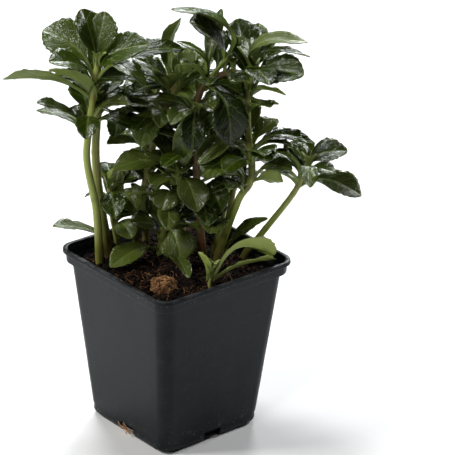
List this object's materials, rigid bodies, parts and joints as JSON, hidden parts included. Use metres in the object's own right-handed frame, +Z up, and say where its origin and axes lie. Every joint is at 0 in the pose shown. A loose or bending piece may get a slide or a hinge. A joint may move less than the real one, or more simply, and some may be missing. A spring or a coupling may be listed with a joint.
{
  "type": "potted japanese spurge",
  "caption": "Japanese spurge in a square tapered nursery pot: upright green stems with whorls of toothed evergreen leaves over brown soil.",
  "frame": {"origin": "centre of the pot's flat underside, on the surface that the pot stands on", "axes": "+Z up; X and Y square to the pot's sides; the fullest side of the plant faces between -X and -Y"},
  "size_m": [0.1427, 0.132, 0.2324],
  "materials": {
    "black_plastic": "satin moulded black plastic, scuffed",
    "soil": "dull crumbly peat and coir",
    "coir": "coarse dry fibre",
    "leaf_green": "leathery leaves, glossy above and dull pale olive below, on yellow-green stems"
  },
  "bodies": {
    "root": {"pot": "black_plastic", "soil": "soil", "coir_tuft": "coir", "shoot_front_left": "leaf_green", "shoot_left_inner": "leaf_green", "shoot_left_low": "leaf_green", "shoot_middle_back": "leaf_green", "shoot_center_front": "leaf_green", "shoot_brown": "leaf_green", "shoot_right_mid": "leaf_green", "shoot_inner": "leaf_green", "shoot_right": "leaf_green", "shoot_front_low": "leaf_green", "shoot_back_left": "leaf_green", "shoot_back_middle": "leaf_green", "shoot_back_right": "leaf_green"}
  },
  "joints": []
}
